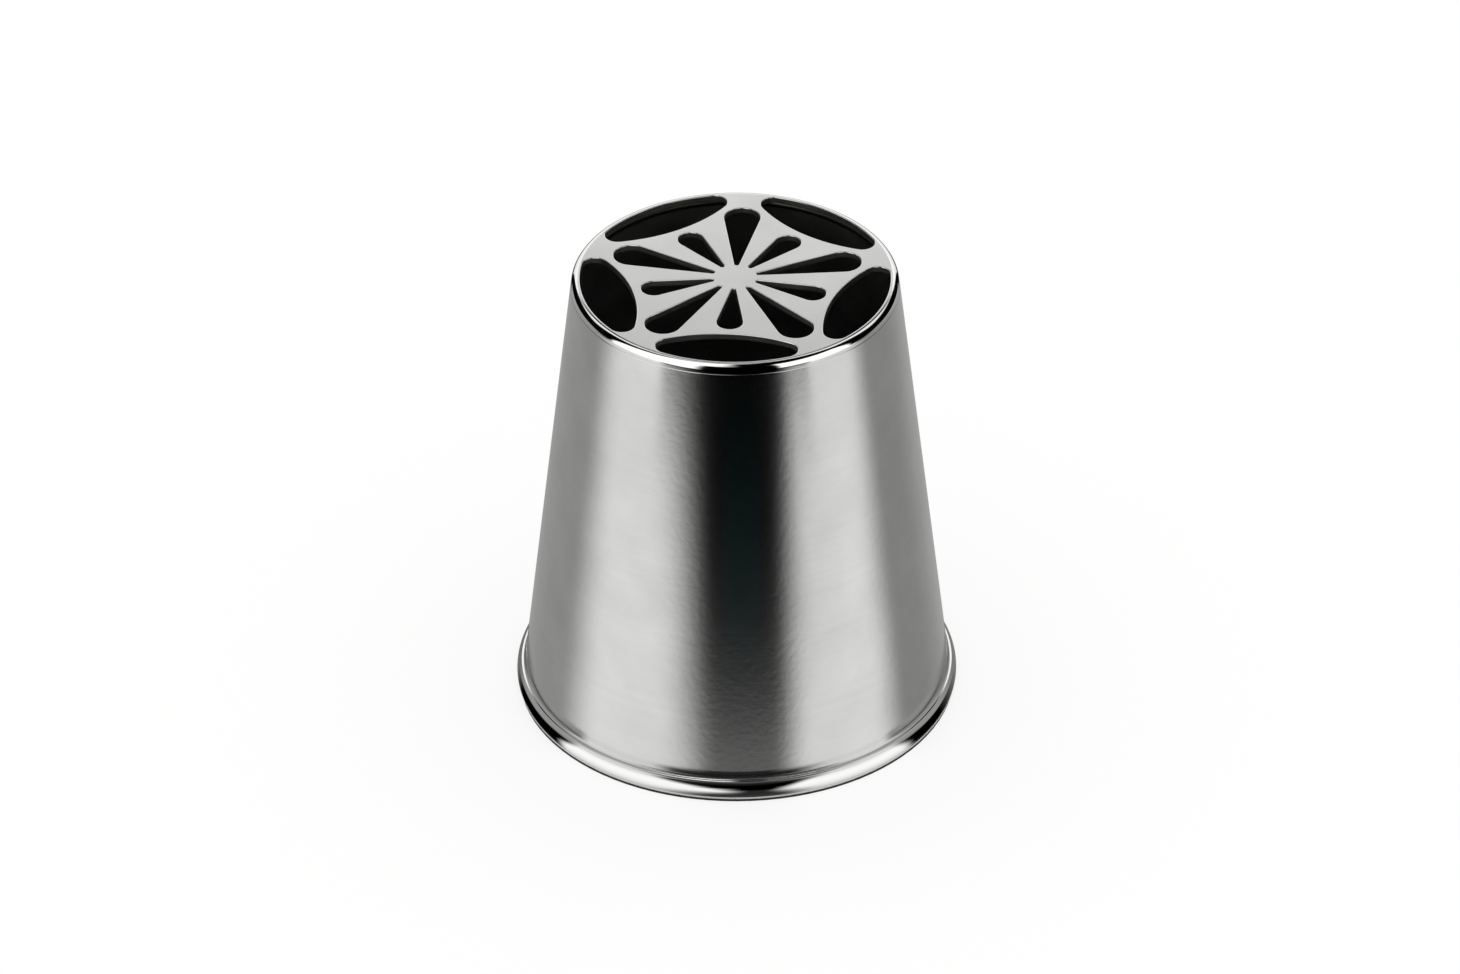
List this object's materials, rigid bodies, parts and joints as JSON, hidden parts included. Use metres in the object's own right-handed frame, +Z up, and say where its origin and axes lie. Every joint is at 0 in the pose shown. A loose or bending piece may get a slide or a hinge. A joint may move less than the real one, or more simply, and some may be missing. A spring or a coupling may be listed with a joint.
{
  "type": "piping nozzle",
  "caption": "Large stainless steel piping nozzle with a hemmed base and a flat face pierced with a petal pattern.",
  "frame": {"origin": "centre of the base, on the plane that the hem stands on", "axes": "+Z up the axis of the cone to the pierced face; +Y along one long petal of the face"},
  "size_m": [0.034, 0.034, 0.0364],
  "materials": {
    "satin_steel": "satin, polished on a lathe round the axis",
    "polished_steel": "satin face with a mirror polished shoulder",
    "weld_steel": "as welded, lightly brushed"
  },
  "bodies": {
    "root": {"body_cone": "satin_steel", "pierced_cap": "polished_steel", "cap_weld": "weld_steel"}
  },
  "joints": []
}
